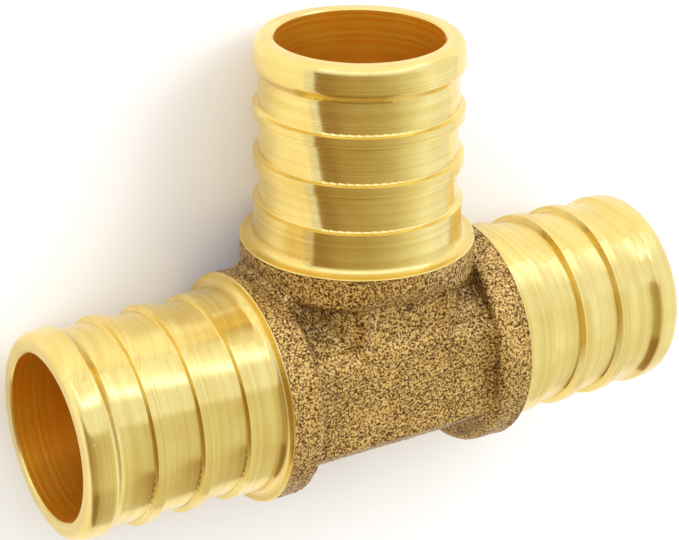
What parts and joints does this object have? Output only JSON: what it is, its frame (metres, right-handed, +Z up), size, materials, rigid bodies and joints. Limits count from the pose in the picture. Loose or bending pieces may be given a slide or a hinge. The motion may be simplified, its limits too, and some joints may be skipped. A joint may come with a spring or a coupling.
{
  "type": "pex crimp tee fitting",
  "caption": "One-piece brass tee for 1 inch PEX tubing, with barbed ends for crimp rings and a rough cast middle.",
  "frame": {"origin": "where the run bore's axis and the branch bore's axis cross", "axes": "+X along the run bore, +Y along the branch towards its open end, +Z up, square to both; the tee lies flat on its three collars"},
  "size_m": [0.0734, 0.0492, 0.025],
  "materials": {
    "brass": "turned bright on the barbs and shoulders, sand cast on the middle"
  },
  "bodies": {
    "root": {"tee_body": "brass"}
  },
  "joints": []
}
